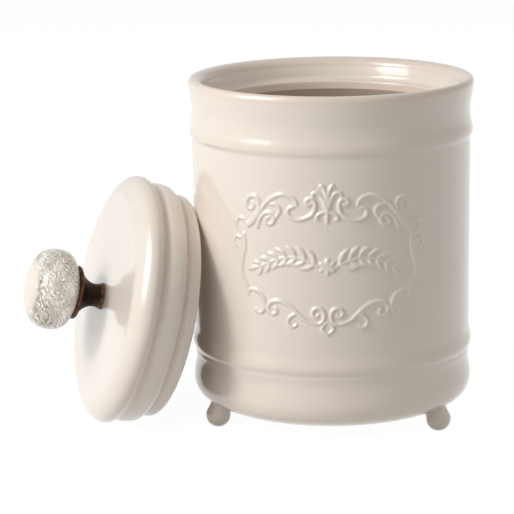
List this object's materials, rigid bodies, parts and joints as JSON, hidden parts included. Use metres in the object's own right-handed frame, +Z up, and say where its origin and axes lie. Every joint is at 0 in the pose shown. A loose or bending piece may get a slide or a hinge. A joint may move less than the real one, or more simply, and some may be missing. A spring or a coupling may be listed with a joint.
{
  "type": "biscuit jar",
  "caption": "Cream glazed biscuit jar on small round feet, banded walls and open mouth, its stepped lid with a crackled glass knob leaning on the side.",
  "frame": {"origin": "on the floor under the middle of the whole set, jar and leaning lid together", "axes": "+Z up along the jar's axis, -Y the way the jar faces, -X the side that the lid leans on"},
  "size_m": [0.2664, 0.1686, 0.2037],
  "materials": {
    "glaze": "glossy cream glaze over slip-cast stoneware",
    "clear_glass": "clear glass with a crackled silvery inside",
    "aged_bronze": "dark antique bronze, rubbed to copper on the edges",
    "plated_steel": "zinc-plated",
    "black_rubber": "matt",
    "soft_washer": "matt fibre"
  },
  "bodies": {
    "jar": {"jar": "glaze", "foot_1": "glaze", "foot_2": "glaze", "foot_3": "glaze"},
    "lid": {"lid": "glaze", "cushion_washer": "soft_washer", "knob_ferrule": "aged_bronze", "knob_glass": "clear_glass", "rubber_washer": "black_rubber", "screw_washer": "plated_steel", "knob_screw": "plated_steel"}
  },
  "joints": [
    {"name": "lid_lift", "type": "slide", "parent": "jar", "child": "lid", "axis": [-0.9236, -0.309, 0.2267], "range_m": [0, 0.2]}
  ]
}
